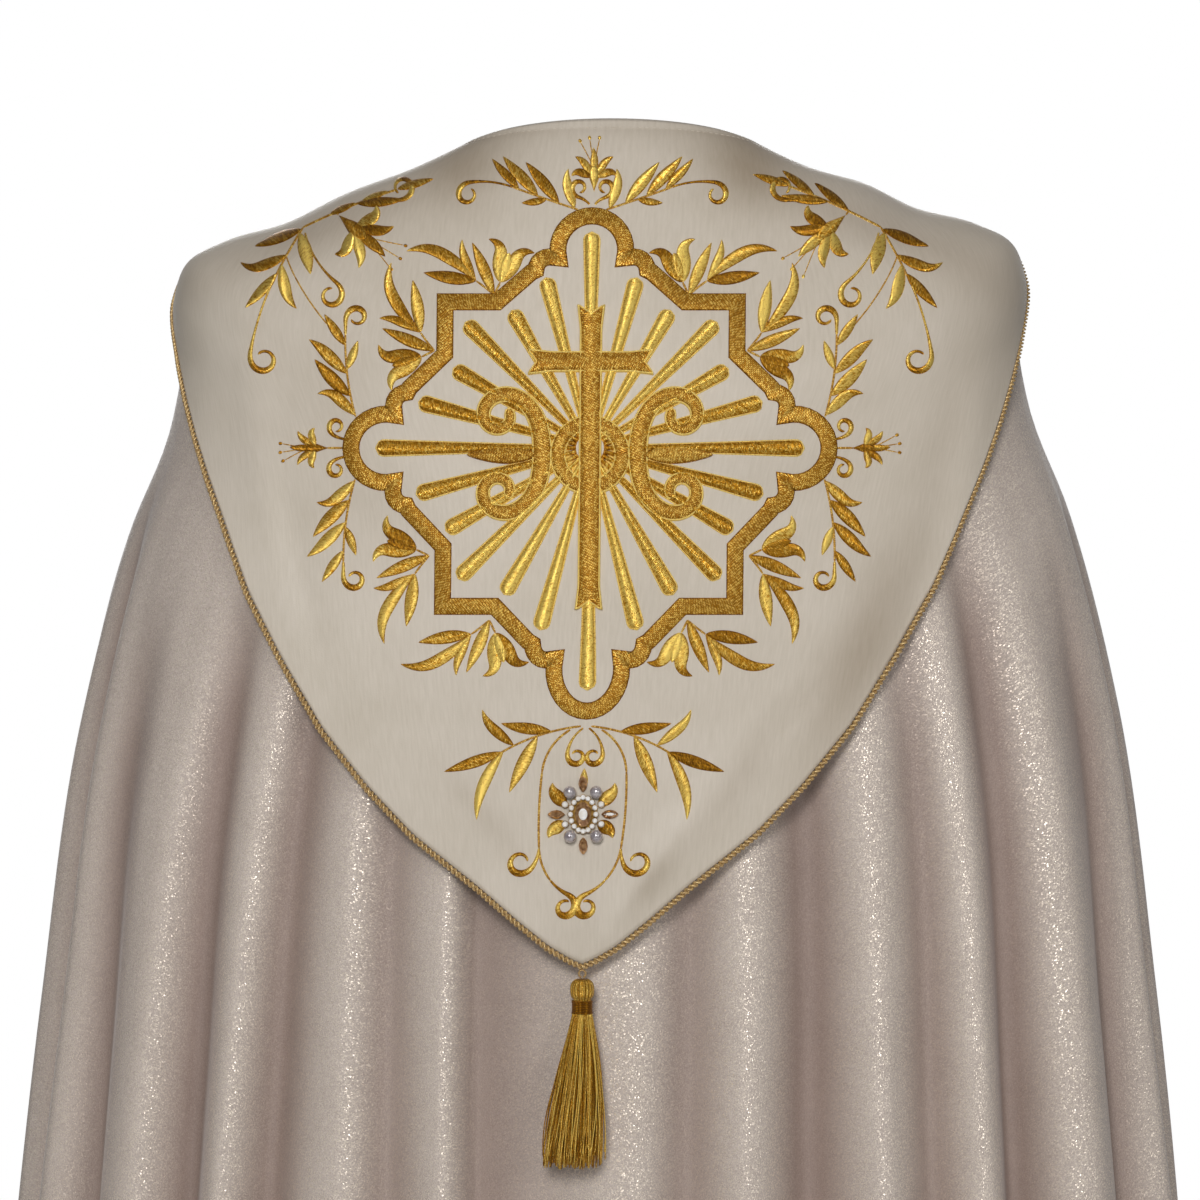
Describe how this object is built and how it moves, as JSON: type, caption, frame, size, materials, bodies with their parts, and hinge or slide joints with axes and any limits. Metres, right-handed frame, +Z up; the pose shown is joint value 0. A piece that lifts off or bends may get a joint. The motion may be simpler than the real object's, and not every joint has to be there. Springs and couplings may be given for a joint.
{
  "type": "cope vestment",
  "caption": "Full-length semicircular cope with a shield-shaped embroidered hood over the shoulders, corded edge, jewel and tassel, held by a plain band",
  "frame": {"origin": "middle of the neck opening, at the height where the neckline crosses the shoulders, where the wearer holds the cope up", "axes": "+Z up; the wearer faces -Y, so the hood hangs on the +Y side; +X is the wearer's left"},
  "size_m": [0.853, 0.5016, 1.4215],
  "materials": {
    "lurex_cloth": "champagne cloth with a fine metallic thread",
    "ivory_satin": "ivory cloth with a soft satin sheen",
    "gold_cord": "twisted metallic cord",
    "gold_thread": "gold rayon thread",
    "gilt_setting": "pale gilt",
    "crystal": "faceted crystal",
    "pearl": "lustrous pearl",
    "topaz": "cut topaz glass"
  },
  "bodies": {
    "root": {"cope_cloth": "lurex_cloth", "hood": "ivory_satin", "hood_cord": "gold_cord", "clasp_band": "lurex_cloth", "tassel_loop": "gold_cord", "tassel": "gold_thread", "brooch": "gilt_setting", "centre_stone": "crystal", "pearl_1": "pearl", "pearl_2": "pearl", "pearl_3": "pearl", "pearl_4": "pearl", "navette_1": "topaz", "navette_2": "topaz", "navette_3": "topaz", "navette_4": "topaz"}
  },
  "joints": []
}
